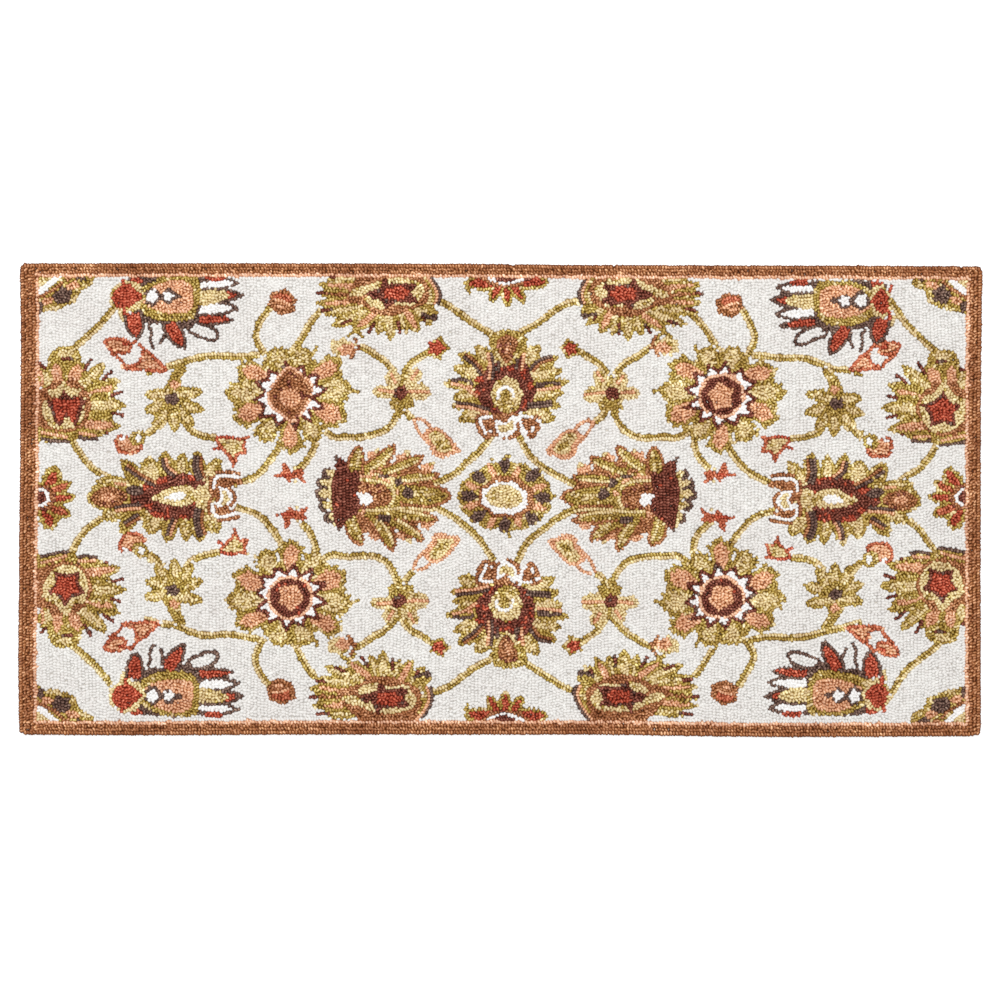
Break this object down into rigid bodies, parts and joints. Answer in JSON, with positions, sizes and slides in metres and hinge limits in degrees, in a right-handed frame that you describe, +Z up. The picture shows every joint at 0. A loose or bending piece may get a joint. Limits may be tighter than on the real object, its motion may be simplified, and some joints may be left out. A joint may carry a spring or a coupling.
{
  "type": "hooked wool rug",
  "caption": "Flat oblong hooked wool rug with a looped pile, a narrow border and a traditional all-over flower and vine pattern.",
  "frame": {"origin": "middle of the underside, which lies on the floor", "axes": "+X along the long side, +Y along the short side, +Z up out of the pile"},
  "size_m": [1.2234, 0.5994, 0.0104],
  "materials": {
    "wool_pile": "matt looped wool yarn, ivory ground with olive, straw, peach, brick, brown, umber and plum figures"
  },
  "bodies": {
    "root": {"rug": "wool_pile"}
  },
  "joints": []
}
